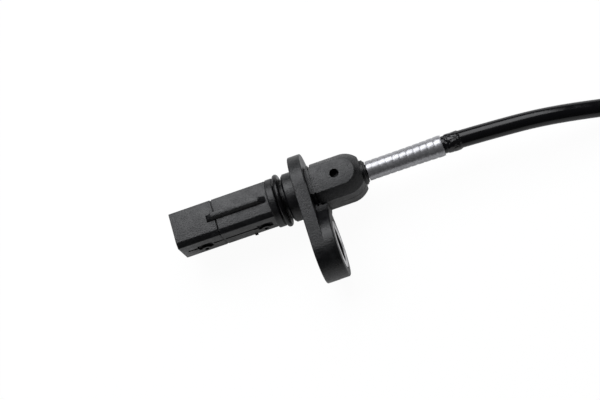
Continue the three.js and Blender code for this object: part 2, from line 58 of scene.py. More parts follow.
def addCamera():
    data = bpy.data.cameras.new("camera")
    data.sensor_width = 36
    data.lens = camera["lens"]
    data.clip_start, data.clip_end = 0.01, 20
    obj = bpy.data.objects.new("camera", data)
    scene.collection.objects.link(obj)
    columns = [Vector(camera["right"]), -Vector(camera["down"]), -Vector(camera["forward"])]
    turn = Matrix([[c[row] for c in columns] for row in range(3)]).to_4x4()
    obj.matrix_world = Matrix.Translation(Vector(camera["place"]) * mm) @ turn
    scene.camera = obj


addCamera()


# Shader building
class Wire:                                      # one socket, so that sums of masks read as sums
    def __init__(self, net, socket):
        self.net = net
        self.socket = socket

    def math(self, operation, other, swapped=False):
        first, second = (other, self) if swapped else (self, other)
        return self.net.node("Math", {"operation": operation}, first, second)

    def __add__(self, other):
        return self.math("ADD", other)

    def __sub__(self, other):
        return self.math("SUBTRACT", other)

    def __rsub__(self, other):
        return self.math("SUBTRACT", other, True)

    def __mul__(self, other):
        return self.math("MULTIPLY", other)

    __radd__ = __add__
    __rmul__ = __mul__

    def smooth(self, low, high, outLow=0.0, outHigh=1.0):
        settings = {"interpolation_type": "SMOOTHSTEP"}
        return self.net.node("MapRange", settings, self, low, high, outLow, outHigh)


class Net:                                       # the nodes of one material or world
    def __init__(self, tree):
        self.tree = tree
        tree.nodes.clear()

    def node(self, kind, settings=None, *values, out=0, **named):
        made = self.tree.nodes.new("ShaderNode" + kind)
        for key, value in (settings or {}).items():
            setattr(made, key, value)
        for key, value in [*enumerate(values), *named.items()]:
            if value is None:
                continue
            socket = made.inputs[key.replace("_", " ") if isinstance(key, str) else key]
            if isinstance(value, Wire):
                self.tree.links.new(value.socket, socket)
            elif isinstance(value, tuple) and socket.type == "RGBA":
                socket.default_value = (*value, 1)
            else:
                socket.default_value = value
        return Wire(self, made.outputs[out]) if made.outputs else None

    def noise(self, scale, detail=2.0, roughness=0.5, distortion=0.0, vector=None):
        place = vector or self.place
        return self.node(
            "TexNoise", None, place, None, scale, detail, roughness, 2.0, None, None, distortion)

    @property
    def place(self):
        return self.node("TexCoord", out=3)

    def mix(self, factor, first, second):
        made = self.tree.nodes.new("ShaderNodeMix")
        made.data_type = "RGBA"
        for socket, value in zip([made.inputs[0], made.inputs[6], made.inputs[7]], [factor, first, second]):
            if isinstance(value, Wire):
                self.tree.links.new(value.socket, socket)
            else:
                socket.default_value = (*value, 1) if isinstance(value, tuple) else value
        return Wire(self, made.outputs[2])

    def bump(self, height, strength, distance):
        return self.node("Bump", None, Strength=strength, Distance=distance, Height=height)

    def shownRays(self, mirrorShare):            # camera and glass see it whole, reflections in part
        camera, mirror, glass = [self.node("LightPath", out=which) for which in (0, 3, 6)]
        return camera + glass + mirror * mirrorShare

    def surface(self, color, roughness, metallic=0.0, bump=None, **named):
        shader = self.node(
            "BsdfPrincipled", None, Base_Color=color, Roughness=roughness, Metallic=metallic,
            Normal=bump, **named)
        self.node("OutputMaterial", None, shader)


def newMaterial(name):
    material = bpy.data.materials.new(name)
    material.use_nodes = True
    return material, Net(material.node_tree)


# Cable
lead = {
    "diameter": 4.8,
    "startX": 37.2,                              # inside the tape wrap
    "startStep": 4.0,
    "cableStartX": 45.57,
    "surfaceZ": -10.4,
    "restGap": 0.05,
    "bendAngle": 7,
    "bendStart": -40,
    "bendEnd": 50,
    "sagStart": 16,
    "sagEnd": 60,
    "coilBendAngle": 42,
    "coilBendStart": 36,
    "coilBendLength": 24,
    "runLength": 60,
    "coilRadius": 24.2,
    "turnPitch": 4.9,
    "turns": 3,
    "stepInward": (0.86, 1.0),                   # this and the next three are counted in turns
    "stepOutward": (2.48, 2.62),
    "climb": (1.54, 1.68),
    "climbToTail": (2.84, 3.0),
    "tailBendRadius": 20,
    "tailBendAngle": 105,
    "tailSeat": 7,
    "seatGap": 0.3,
    "plugHeight": 12,
}


def smoothStep(value, low, high):
    t = min(max((value - low) / (high - low), 0), 1)
    return t * t * (3 - 2 * t)


def cableLine():
    bend, coilBend = math.radians(lead["bendAngle"]), math.radians(lead["coilBendAngle"])
    radius = lead["diameter"] / 2
    restZ = lead["surfaceZ"] + radius + lead["restGap"]
    points = [Vector((lead["startX"] + lead["startStep"] * i, 0, 0)) for i in range(2)]
    x, y, step = lead["cableStartX"], 0.0, 2
    for s in range(0, lead["runLength"] + 1, step):
        toCoil = smoothStep(s, lead["coilBendStart"], lead["coilBendStart"] + lead["coilBendLength"])
        heading = -bend * smoothStep(s, lead["bendStart"], lead["bendEnd"]) - coilBend * toCoil
        points.append(Vector((x, y, restZ * smoothStep(s, lead["sagStart"], lead["sagEnd"]))))
        x += step * math.cos(heading)
        y += step * math.sin(heading)
    tangent = points[-1].copy()
    entry = bend + coilBend
    forward = Vector((math.cos(entry), -math.sin(entry), 0))
    leftward = Vector((math.sin(entry), math.cos(entry), 0))
    outer = lead["coilRadius"] + lead["turnPitch"] / 2
    coilTop = lead["surfaceZ"] + lead["turnPitch"] + lead["diameter"]
    tailZ = coilTop + lead["seatGap"] + radius
    plugZ = coilTop + lead["seatGap"] + lead["plugHeight"] / 2
    centre = tangent + leftward * outer
    stepsPerTurn = 72
    for i in range(1, lead["turns"] * stepsPerTurn + 1):
        turn = i / stepsPerTurn
        inward = smoothStep(turn, *lead["stepInward"]) - smoothStep(turn, *lead["stepOutward"])
        turnRadius = outer - lead["turnPitch"] * inward
        height = restZ + lead["turnPitch"] * smoothStep(turn, *lead["climb"])
        height += (tailZ - restZ - lead["turnPitch"]) * smoothStep(turn, *lead["climbToTail"])
        angle = 2 * math.pi * turn
        point = centre - leftward * turnRadius * math.cos(angle) + forward * turnRadius * math.sin(angle)
        points.append(Vector((point.x, point.y, height)))
    tailCentre = tangent + leftward * lead["tailBendRadius"]
    tailTurn = math.radians(lead["tailBendAngle"])
    tailSteps = 24
    for i in range(1, tailSteps + 1):
        angle = tailTurn * i / tailSteps
        arm = forward * math.sin(angle) - leftward * math.cos(angle)
        point = tailCentre + arm * lead["tailBendRadius"]
        point.z = tailZ + (plugZ - tailZ) * smoothStep(angle, 0, tailTurn * 0.9)
        points.append(point)
    ahead = forward * math.cos(tailTurn) + leftward * math.sin(tailTurn)
    points += [points[-1] + ahead * lead["tailSeat"] * share for share in (0.5, 1.0)]
    return [toRow @ point for point in points]


def addCable():
    line = cableLine()
    curve = bpy.data.curves.new("sensor_cable", "CURVE")
    curve.dimensions = "3D"
    curve.bevel_depth = 1                        # each point carries the real radius
    curve.bevel_resolution = 6
    curve.use_fill_caps = True
    spline = curve.splines.new("POLY")
    spline.points.add(len(line) - 1)
    for target, point in zip(spline.points, line):
        target.co = (*point, 1)
        target.radius = lead["diameter"] / 2 * mm
    spline.use_smooth = True
    obj = bpy.data.objects.new("sensor_cable", curve)
    scene.collection.objects.link(obj)
    length = sum((b - a).length for a, b in zip(line, line[1:]))
    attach(obj, "root")
    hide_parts("cable_run", "cable_coil", "cable_tail")
    return obj, line[0], length


cable, cableExit, cableLength = addCable()
print("cable laid,", round(cableLength, 3), "m")


# Shaping helpers
def polygonSolid(points, startX, endX):          # (y, z) outline carried along X
    bm = bmesh.new()
    face = bm.faces.new([bm.verts.new((startX, y, z)) for y, z in points])
    made = bmesh.ops.extrude_face_region(bm, geom=[face])
    moved = [v for v in made["geom"] if isinstance(v, bmesh.types.BMVert)]
    bmesh.ops.translate(bm, verts=moved, vec=(endX - startX, 0, 0))
    bmesh.ops.recalc_face_normals(bm, faces=bm.faces)
    return bm


def blockSolid(low, high):
    bm = bmesh.new()
    size = [b - a for a, b in zip(low, high)]
    middle = [(a + b) / 2 for a, b in zip(low, high)]
    bmesh.ops.create_cube(bm, size=1, matrix=Matrix.Translation(middle) @ Matrix.Diagonal((*size, 1)))
    return bm


def lathe(profile, steps=96, centre=(0, 0)):     # (x, radius) pairs turned about an axis along X
    bm = bmesh.new()
    closed = profile[0] == profile[-1]
    rows = profile[:-1] if closed else profile
    verts = [bm.verts.new((x, centre[0] + radius, centre[1])) for x, radius in rows]
    ends = [*zip(verts, verts[1:])] + ([(verts[-1], verts[0])] if closed else [])
    edges = [bm.edges.new(pair) for pair in ends]
    bmesh.ops.spin(
        bm, geom=verts + edges, cent=(0, *centre), axis=(1, 0, 0), dvec=(0, 0, 0),
        angle=2 * math.pi, steps=steps, use_merge=True)
    bmesh.ops.remove_doubles(bm, verts=bm.verts, dist=1e-4)
    bmesh.ops.recalc_face_normals(bm, faces=bm.faces)
    return bm


def rodAlong(axis, centre, radius, depth, segments=64):
    turn = {"X": Matrix.Rotation(math.pi / 2, 4, "Y"), "Y": Matrix.Rotation(math.pi / 2, 4, "X"),
            "Z": Matrix.Identity(4)}[axis]
    bm = bmesh.new()
    bmesh.ops.create_cone(
        bm, cap_ends=True, segments=segments, radius1=radius, radius2=radius, depth=depth,
        matrix=Matrix.Translation(centre) @ turn)
    return bm


def merged(*parts):
    whole = bmesh.new()
    for part in parts:
        mesh = bpy.data.meshes.new("part")
        part.to_mesh(mesh)
        whole.from_mesh(mesh)
        bpy.data.meshes.remove(mesh)
        part.free()
    return whole


def hullOf(*parts):                              # outer skin round convex solids
    bm = merged(*parts)
    hull = bmesh.ops.convex_hull(bm, input=bm.verts)
    loose = [v for v in hull["geom_interior"] + hull["geom_unused"] if isinstance(v, bmesh.types.BMVert)]
    bmesh.ops.delete(bm, geom=loose, context="VERTS")
    faces = set(f for f in hull["geom"] if isinstance(f, bmesh.types.BMFace))
    bmesh.ops.delete(bm, geom=[f for f in bm.faces if f not in faces], context="FACES_ONLY")
    bmesh.ops.dissolve_limit(
        bm, angle_limit=math.radians(0.4), use_dissolve_boundaries=False, verts=bm.verts, edges=bm.edges)
    bmesh.ops.recalc_face_normals(bm, faces=bm.faces)
    return bm


def roundEdges(bm, width, segments=3, sharper=25, where=None):
    edges = [
        e for e in bm.edges
        if e.is_manifold and e.calc_face_angle() > math.radians(sharper)
        and (where is None or where((e.verts[0].co + e.verts[1].co) / 2))
    ]
    bmesh.ops.bevel(
        bm, geom=edges, offset=width, offset_type="OFFSET", segments=segments, profile=0.5,
        affect="EDGES", clamp_overlap=True, material=-1)
    return bm


def tempObject(bm):
    mesh = bpy.data.meshes.new("temp")
    bm.to_mesh(mesh)
    bm.free()
    obj = bpy.data.objects.new("temp", mesh)
    scene.collection.objects.link(obj)
    return obj


def carve(bm, *tools):                           # takes the tools out of the solid
    base = tempObject(bm)
    cutter = tempObject(merged(*tools))
    change = base.modifiers.new("cut", "BOOLEAN")
    change.operation = "DIFFERENCE"
    change.solver = "EXACT"
    change.use_self = True
    change.object = cutter
    evaluated = base.evaluated_get(bpy.context.evaluated_depsgraph_get())
    result = bmesh.new()
    result.from_mesh(evaluated.to_mesh())
    evaluated.to_mesh_clear()
    for obj in (base, cutter):
        mesh = obj.data
        bpy.data.objects.remove(obj)
        bpy.data.meshes.remove(mesh)
    return result


def addPiece(name, bm, material, nodes=(), smoothAngle=30):
    bm.transform(toRow)
    mesh = bpy.data.meshes.new(name)
    bm.to_mesh(mesh)
    bm.free()
    mesh.shade_smooth()
    mesh.set_sharp_from_angle(angle=math.radians(smoothAngle))
    mesh.materials.append(material)
    obj = bpy.data.objects.new(name, mesh)
    scene.collection.objects.link(obj)
    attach(obj, "root")
    if nodes:
        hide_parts(*nodes)
    return obj


# Materials
def resinMaterial():
    material, net = newMaterial("resin")
    look = {"dark": (0.0028, 0.003, 0.0036), "light": (0.0085, 0.0088, 0.0102), "roughness": 0.36}
    cloud = net.noise(420, 4, 0.6)
    grain = net.noise(2600, 3, 0.65)
    color = net.mix((cloud * 0.6 + grain * 0.4).smooth(0.36, 0.64), look["dark"], look["light"])
    roughness = look["roughness"] + cloud.smooth(0.35, 0.65) * 0.12 - grain * 0.1
    net.surface(
        color, roughness, bump=net.bump(grain + cloud * 0.6, 0.5, 0.0002), Specular_IOR_Level=0.52)
    return material


def rubberMaterial():
    material, net = newMaterial("seal_rubber")
    film = net.noise(900, 3)
    net.surface(
        (0.003, 0.003, 0.0035), 0.22 + film.smooth(0.3, 0.7) * 0.12, bump=net.bump(film, 0.15, 0.00003),
        Specular_IOR_Level=0.3)
    return material


def steelMaterial():
    material, net = newMaterial("bush_steel")
    look = {
        "boreCentre": (0, -16.8, 0),
        "brightFrom": 0.00495, "paintedShadeWithin": 0.0047,         # metres from the bore's axis
    }
    stretch = net.node("Mapping", {"vector_type": "POINT"}, net.place, Scale=(6.0, 0.4, 0.4))
    lines = net.noise(1800, 4, 0.6, vector=stretch)
    spots = net.noise(700, 3)
    axis = tuple(toRow @ Vector(look["boreCentre"]))
    away = net.node("VectorMath", {"operation": "SUBTRACT"}, net.place, axis)
    across = net.node("VectorMath", {"operation": "MULTIPLY"}, away, (0.0, 1.0, 1.0))
    radius = net.node("VectorMath", {"operation": "LENGTH"}, across, out=1)
    # painted shade: the bore mask takes the hole's inner wall, which the colour below paints near black as
    # the shade inside the bore
    bore = radius.smooth(look["brightFrom"], look["paintedShadeWithin"])
    steel = net.mix(spots.smooth(0.4, 0.62), (0.78, 0.78, 0.79), (0.92, 0.92, 0.93))
    color = net.mix(bore, steel, (0.012, 0.012, 0.013))
    net.surface(color, 0.22 + lines * 0.12 + bore * 0.3, 1.0, bump=net.bump(lines, 0.04, 0.00001))
    return material


def sleeveMaterial():
    material, net = newMaterial("grey_sleeve")
    specks = net.noise(1600, 5, 0.7)
    patches = net.noise(260, 3)
    shade = (specks * 0.7 + patches * 0.3).smooth(0.36, 0.66)
    color = net.mix(shade, (0.37, 0.37, 0.385), (0.52, 0.52, 0.54))
    net.surface(color, 0.27 + specks * 0.14, 0.72, bump=net.bump(specks, 0.3, 0.00003))
    return material


def tapeMaterial():
    material, net = newMaterial("tape")
    folds = net.noise(420, 3, 0.5, 1.2)
    net.surface(
        (0.005, 0.005, 0.006), 0.13 + folds.smooth(0.4, 0.7) * 0.15, bump=net.bump(folds, 0.9, 0.0006))
    return material


def jacketMaterial():
    material, net = newMaterial("cable_jacket")
    skin = net.noise(340, 4, 0.6)
    grain = net.noise(2400, 2)
    net.surface(
        (0.004, 0.004, 0.005), 0.15 + skin.smooth(0.35, 0.7) * 0.1,
        bump=net.bump(skin + grain * 0.2, 0.15, 0.00005), Specular_IOR_Level=0.36)
    return material


def plainMaterial(name, dark, light, roughness, metallic=0.0, scale=1200, bumpDepth=0.00003):
    material, net = newMaterial(name)
    grain = net.noise(scale, 3, 0.6)
    color = net.mix(grain.smooth(0.35, 0.65), dark, light)
    net.surface(color, roughness + grain * 0.1, metallic, bump=net.bump(grain, 0.3, bumpDepth))
    return material


resin = resinMaterial()
sealRubber = rubberMaterial()
bushSteel = steelMaterial()
greySleeve = sleeveMaterial()
tape = tapeMaterial()
cableJacket = jacketMaterial()
tinnedCopper = plainMaterial("tinned_copper", (0.42, 0.39, 0.33), (0.56, 0.53, 0.46), 0.28, 1.0)
carrierResin = plainMaterial("carrier_resin", (0.024, 0.027, 0.029), (0.036, 0.04, 0.043), 0.5)
chipResin = plainMaterial("chip_resin", (0.009, 0.009, 0.01), (0.015, 0.015, 0.017), 0.4)
magnetMetal = plainMaterial("magnet", (0.13, 0.135, 0.145), (0.19, 0.195, 0.2), 0.35, 1.0)
capacitorGlaze = plainMaterial("capacitor", (0.2, 0.11, 0.045), (0.3, 0.17, 0.07), 0.35)
coreInsulation = plainMaterial("core_insulation", (0.02, 0.02, 0.022), (0.03, 0.03, 0.034), 0.45)
plugPlastic = plainMaterial("plug_plastic", (0.009, 0.009, 0.01), (0.016, 0.016, 0.017), 0.4, scale=2200)
lockPlastic = plainMaterial("lock_plastic", (0.08, 0.09, 0.1), (0.12, 0.13, 0.14), 0.45)
cable.data.materials.append(cableJacket)
print("materials made")


# Probe head
head = {
    "tipX": -35.1, "capEnd": -23.25, "rearStart": -22.8, "rearEnd": -7.95,
    "halfWidth": 5.05, "halfHeight": 5.25,
    "tipChamfer": 1.55, "neckChamfer": 1.15, "chamferHeight": 0.75,
    "edgeRound": 0.22,
    "hollowNear": (-3.45, -3.95), "hollowFar": (3.75, 3.95), "hollowStart": -30, "hollowEnd": -12.5,
    "tipWall": 1.3, "neckOverlap": 0.4,
    "windowLength": 4.2, "windowHeight": 3.4, "windowDepth": 0.6, "windowRise": -0.2, "windowRound": 0.35,
    "frontWindow": -28.5, "rearWindow": -11.35,
    "partingStart": -33.4, "rearPartingStart": -24, "partingGap": 2.4,
    "partingWidth": 0.8, "partingDepth": 0.7,
    "spigotFront": 0.25, "spigotRear": 0.3,      # how far the inner step runs into cap and rear
    "jointInsetSide": 0.14, "jointInsetTop": 0.8, "jointInsetEdge": 0.4,
    "slotLength": 1.2, "slotHeight": 1.0, "slotOverlap": 0.5,
    "pipLength": 1.3, "pipHeight": 1.5, "pipDrop": 2.35, "pipShift": -0.2, "pipProud": 0.12,
    "wellRadius": 0.62, "wellCut": 1.4,
    "nubLow": (-15.3, -5.3, -4.95), "nubHigh": (-14.4, -4.7, -4.4), "nubRound": 0.12,
}


def chamferAt(x):
    t = (x - head["tipX"]) / (head["rearEnd"] - head["tipX"])
    return head["tipChamfer"] + (head["neckChamfer"] - head["tipChamfer"]) * t


def headBlock(startX, endX):
    width, height = head["halfWidth"], head["halfHeight"]
    shoulder = height - head["chamferHeight"]
    edgeY = -width + chamferAt(startX)
    bm = polygonSolid(
        [(width, -height), (width, height), (edgeY, height), (-width, shoulder),
         (-width, -shoulder), (edgeY, -height)], startX, endX)
    for v in bm.verts:
        if v.co.x == endX and abs(v.co.y - edgeY) < 1e-4:
            v.co.y = -width + chamferAt(endX)
    return bm


def windowTool(x):
    half, depth = head["windowLength"] / 2, head["windowDepth"]
    low = (x - half, -head["halfWidth"] - 1, head["windowRise"] - head["windowHeight"] / 2)
    high = (x + half, -head["halfWidth"] + depth, head["windowRise"] + head["windowHeight"] / 2)
    return roundEdges(blockSolid(low, high), head["windowRound"], 2)


def partingTool(startX, endX):
    half = head["partingWidth"] / 2
    return blockSolid(
        (startX, -head["halfWidth"] - 1, -half), (endX, -head["halfWidth"] + head["partingDepth"], half))


def slotTool(x):                                 # short slot at the window's front end
    half, high, depth = head["windowLength"] / 2, head["slotHeight"] / 2, head["windowDepth"]
    return blockSolid(
        (x - half - head["slotLength"], -head["halfWidth"] - 1, head["windowRise"] - high),
        (x - half + head["slotOverlap"], -head["halfWidth"] + depth, head["windowRise"] + high))


def hollowTool(startX, endX):                    # room for the carrier and its leads
    return blockSolid((startX, *head["hollowNear"]), (endX, *head["hollowFar"]))


def pipMatrix(x):
    tall = Matrix.Diagonal((1, 1, head["pipHeight"] / head["pipLength"], 1))
    return Matrix.Translation((x + head["pipShift"], -head["halfWidth"], -head["pipDrop"])) @ tall


def wellRod():
    return rodAlong("Y", (0, 0, 0), head["wellRadius"], head["wellCut"], 24)


def wellTool(x):                                 # the disc's dimple, cut into the wall
    well = wellRod()
    well.transform(pipMatrix(x))
    return well


def sidePip(x):                                  # moulded disc with a dimple, beside each window
    thickness = 1.0
    disc = rodAlong("Y", (0, thickness / 2 - head["pipProud"], 0), head["pipLength"], thickness, 32)
    disc = carve(disc, wellRod())
    disc.transform(pipMatrix(x))
    return disc


rib = {
    "startX": -25.95, "endX": -7.75, "height": 1.4, "topHalf": 0.62, "offset": 0.5, "flank": 0.95,
    "root": 0.6, "frontSlope": 1.9, "rearSlope": 2.6, "middleX": -17,
    "endRound": 0.55, "frontRoundTo": -24, "rearRoundFrom": -11, "edgeRound": 0.1, "capClearance": 0.08,
}


def keyRib(extra=0.0):
    base, top = head["halfHeight"], head["halfHeight"] + rib["height"] + extra
    low = base - rib["root"] - extra
    inner = rib["offset"] + rib["topHalf"] + extra
    outer = rib["offset"] - rib["topHalf"] - extra
    bm = polygonSolid(
        [(inner, low), (inner, top), (outer, top), (outer - rib["flank"], low)],
        rib["startX"] - extra, rib["endX"])
    for v in bm.verts:                           # both ends slope down to the wide face
        if v.co.z > base:
            v.co.x += rib["frontSlope"] if v.co.x < rib["middleX"] else -rib["rearSlope"]
    return bm


def roundedRib():
    bm = keyRib()
    front, rear = rib["frontRoundTo"], rib["rearRoundFrom"]
    roundEdges(bm, rib["endRound"], 4, where=lambda p: p.x > rear or p.x < front)
    return roundEdges(bm, rib["edgeRound"], 2, 40)


def addHead():
    joint = (head["capEnd"] + head["rearStart"]) / 2
    window, gap, past = head["frontWindow"], head["partingGap"], -20
    cap = roundEdges(
        headBlock(head["tipX"], head["capEnd"]), head["edgeRound"], where=lambda p: p.x < joint - 1)
    cap = carve(
        cap, windowTool(window), slotTool(window), keyRib(rib["capClearance"]), wellTool(window),
        partingTool(head["partingStart"], window - gap), partingTool(window + gap, past),
        hollowTool(head["tipX"] + head["tipWall"], past))
    addPiece("head_cap_shell", merged(cap, sidePip(window)), resin, ["head_cap"])


addHead()


# Moulded body
body = {
    "neckRadius": 6.7, "neckStartRound": [(0, 0.3), (0.1, 0.12), (0.3, 0)], "neckEnd": 0.5,
    "grooveFloor": 4.9, "grooveStart": -5.95, "grooveEnd": -3.35, "grooveRound": 0.1,
    "grooveEdgeLength": 0.15, "grooveEdgeDrop": 0.12, "collarChamfer": 0.5,
    "flangeRadius": 10.4, "flangeThickness": 3.5, "earReach": 16.8, "earRadius": 8.9, "earThickness": 6.5,
    "plateRound": 0.35, "plateRoundTo": 1, "plateRoundAbove": -6,
    "bossRootRadius": 2.5, "bossRootReach": 7.5, "bossSink": 1, "bossInset": 0.05, "bossRound": 0.45,
    "seatRadius": 6.65, "seatMiddle": 3, "seatLength": 12,
    "housingStart": 2.5, "housingRound": 0.3, "housingRoundFrom": 3.2,
    "padHalfWidth": 3.7, "padHeight": 7.2, "sideHalfWidth": 5.8, "sideHalfHeight": 3.8,
    "noseStart": 13.2, "padNoseStart": 12.8, "noseEnd": 17.85,
    "lipGap": 0.55, "lipWidth": 0.5, "lipDepth": 0.45,
    "seamStart": 9.0, "seamEnd": 25, "seamHalfHeight": 0.09, "seamDepth": 0.12,
    "holeX": 11.1, "holeRadius": 1.25, "holeDepth": 2.6,
    "stepRadius": 3.4, "stepEnd": 18.65, "stepRound": 0.2,
    "exitRadius": 2.9, "exitEnd": 19.0, "exitRound": 0.1,
    "gussetEnd": 6.9, "gussetReach": 8.0, "gussetHalfHeight": 3.4, "gussetSink": 0.3, "gussetDrop": 0.2,
    "gussetRound": 0.3,
}


def neckSolid():
    r, start, end = body["neckRadius"], body["grooveStart"], body["grooveEnd"]
    floor, chamfer, x = body["grooveFloor"], body["collarChamfer"], head["rearEnd"]
    fillet, last = body["grooveRound"], body["neckEnd"]
    return lathe([
        (x, 0), *[(x + along, r - drop) for along, drop in body["neckStartRound"]],
        (start - body["grooveEdgeLength"], r), (start, r - body["grooveEdgeDrop"]),
        (start, floor + fillet), (start + fillet, floor), (end - fillet, floor), (end, floor + fillet),
        (end, r - chamfer), (end + chamfer, r), (last, r), (last, 0)], 128)


def flangeSolid():
    b = body
    middle = b["flangeThickness"] / 2
    plate = hullOf(
        rodAlong("X", (middle, 0, 0), b["flangeRadius"], b["flangeThickness"], 128),
        rodAlong("X", (middle, -b["earReach"], 0), b["earRadius"], b["flangeThickness"], 128))
    roundEdges(
        plate, b["plateRound"], 4, 60, lambda p: p.x < b["plateRoundTo"] or p.y > b["plateRoundAbove"])
    bossStart = b["flangeThickness"] - b["bossSink"]
    bossLength = b["earThickness"] - bossStart
    bossX = bossStart + bossLength / 2
    boss = hullOf(
        rodAlong("X", (bossX, -b["bossRootReach"], 0), b["bossRootRadius"], bossLength, 128),
        rodAlong("X", (bossX, -b["earReach"], 0), b["earRadius"] - b["bossInset"], bossLength, 128))
    roundEdges(boss, b["bossRound"], 4, 60, lambda p: p.x > bossX)
    seats = [
        rodAlong("X", (b["seatMiddle"], -b["earReach"], 0), b["seatRadius"], b["seatLength"], 96)
        for _ in range(2)]
    return merged(carve(plate, seats[0]), carve(boss, seats[1]))


def housingHull(startX, inset=0.0, drop=0.0):
    b, segments = body, 96
    pad, side, nose = b["padHalfWidth"] - inset, b["sideHalfWidth"] - inset, b["noseStart"]
    padZ, sideZ = b["padHeight"] - drop, b["sideHalfHeight"] - drop
    padNose = b["padNoseStart"]
    bm = hullOf(
        rodAlong("Z", (padNose, 0, 0), pad, 2 * padZ, segments),
        rodAlong("Z", (nose, 0, 0), side, 2 * sideZ, segments),
        blockSolid((startX, -pad, -padZ), (padNose, pad, padZ)),
        blockSolid((startX, -side, -sideZ), (nose, side, sideZ)))
    bmesh.ops.bisect_plane(
        bm, geom=bm.verts[:] + bm.edges[:] + bm.faces[:], plane_co=(b["noseEnd"], 0, 0), plane_no=(1, 0, 0),
        clear_outer=True)
    bmesh.ops.holes_fill(bm, edges=[e for e in bm.edges if e.is_boundary], sides=0)
    bmesh.ops.recalc_face_normals(bm, faces=bm.faces)
    return bm


def housingSolid():
    b = body
    solid = roundEdges(
        housingHull(b["housingStart"]), b["housingRound"], 3, 12, lambda p: p.x > b["housingRoundFrom"])
    hole = rodAlong("Z", (b["holeX"], 0, b["padHeight"]), b["holeRadius"], 2 * b["holeDepth"], 48)
    reach, wide, half = 9, 12, b["seamHalfHeight"]
    seam = blockSolid((b["seamStart"], -reach, -half), (b["seamEnd"], reach, half))
    seam = carve(seam, housingHull(0, b["seamDepth"]))
    grooves = []
    starts = [b["flangeThickness"], b["flangeThickness"] + b["lipGap"] + b["lipWidth"]]
    for start in starts:
        ring = blockSolid((start, -wide, -wide), (start + b["lipGap"], wide, wide))
        grooves.append(carve(ring, housingHull(start - 2, b["lipDepth"], b["lipDepth"])))
    return carve(carve(carve(solid, hole), seam), *grooves)


def exitCollar():
    b = body
    return lathe([
        (b["noseStart"], 0), (b["noseStart"], b["stepRadius"]),
        (b["stepEnd"] - b["stepRound"], b["stepRadius"]), (b["stepEnd"], b["stepRadius"] - b["stepRound"]),
        (b["stepEnd"], b["exitRadius"]), (b["exitEnd"] - b["exitRound"], b["exitRadius"]),
        (b["exitEnd"], b["exitRadius"] - b["exitRound"]), (b["exitEnd"], 0)], 96)


def gussetSolid():
    b = body
    x, y, half = b["flangeThickness"] - b["gussetSink"], -b["sideHalfWidth"], b["gussetHalfHeight"]
    end, reach = b["gussetEnd"], b["gussetReach"]
    bm = bmesh.new()
    outline = [(x, y + 1), (end, y + 1), (end, y), (b["earThickness"] - b["gussetDrop"], -reach), (x, -reach)]
    face = bm.faces.new([bm.verts.new((px, py, -half)) for px, py in outline])
    made = bmesh.ops.extrude_face_region(bm, geom=[face])
    bmesh.ops.translate(
        bm, verts=[v for v in made["geom"] if isinstance(v, bmesh.types.BMVert)], vec=(0, 0, 2 * half))
    bmesh.ops.recalc_face_normals(bm, faces=bm.faces)
    return roundEdges(bm, b["gussetRound"], 2, where=lambda p: p.x > 4)


def spigotSolid():                               # inner step that shows as a groove between cap and rear
    spigot = headBlock(head["capEnd"] - head["spigotFront"], head["rearStart"] + head["spigotRear"])
    for v in spigot.verts:
        inset = head["jointInsetSide"]
        v.co.y *= 1 - inset / head["halfWidth"]
        if v.co.z > 0:                           # the groove is deepest beside the chamfer
            inset = head["jointInsetTop"] if v.co.y < 0 else head["jointInsetEdge"]
        v.co.z *= 1 - inset / head["halfHeight"]
    return carve(spigot, hollowTool(head["hollowStart"], head["hollowEnd"]))


def addBody():
    joint = (head["capEnd"] + head["rearStart"]) / 2
    window, partingEnd = head["rearWindow"], head["rearWindow"] - head["partingGap"]
    rear = headBlock(head["rearStart"], head["rearEnd"] + head["neckOverlap"])
    roundEdges(rear, head["edgeRound"], where=lambda p: p.x > joint + 1)
    rear = carve(
        rear, windowTool(window), slotTool(window), wellTool(window),
        partingTool(head["rearPartingStart"], partingEnd),
        hollowTool(head["hollowStart"], head["hollowEnd"]))
    nub = roundEdges(blockSolid(head["nubLow"], head["nubHigh"]), head["nubRound"], 2)
    whole = merged(
        spigotSolid(), rear, nub, roundedRib(), sidePip(window), neckSolid(), flangeSolid(),
        housingSolid(), exitCollar(), gussetSolid())
    addPiece("sensor_moulding", whole, resin, ["sensor_body"])


addBody()
print("head and body made")


# Seal ring, bush, sleeve and tape
seal = {"outerRadius": 7.35, "section": 1.5, "setback": 4.9}


def addSeal():
    half, sides = seal["section"] / 2, 24
    profile = []
    for i in range(sides + 1):
        angle = 2 * math.pi * (i % sides) / sides
        x = -seal["setback"] + half * math.sin(angle)
        profile.append((x, seal["outerRadius"] - half + half * math.cos(angle)))
    addPiece("seal_ring", lathe(profile, 128), sealRubber, ["o_ring"])


addSeal()

bush = {
    "holeRadius": 4.6, "outerRadius": 6.5, "length": 6.6, "centreY": -16.8,
    "frontLead": 0.3, "rimRound": 0.22, "rimMiddle": (0.06, 0.07),
    "rearLead": [(0, 0.55), (0.12, 0.4), (0.5, 0)],
}


def addBush():
    hole, outer, end = bush["holeRadius"], bush["outerRadius"], bush["length"]
    start, rim, (rimBack, rimDrop) = bush["frontLead"], bush["rimRound"], bush["rimMiddle"]
    profile = [
        (0, hole + start), (0, outer),
        (end - rim, outer), (end - rimBack, outer - rimDrop), (end, outer - rim),
        *[(end - back, hole + rise) for back, rise in bush["rearLead"]], (start, hole), (0, hole + start)]
    ring = lathe(profile, 128, (bush["centreY"], 0))
    addPiece("ear_bush", ring, bushSteel, ["flange_bush"], 20)


addBush()

sleeve = {
    "startX": 19.3, "length": 21.1, "bands": 11, "radius": 2.68, "flare": 0.2, "bore": 2.2,
    "grooveDepth": 0.1, "startDrop": 0.08, "endRound": 0.06,
}


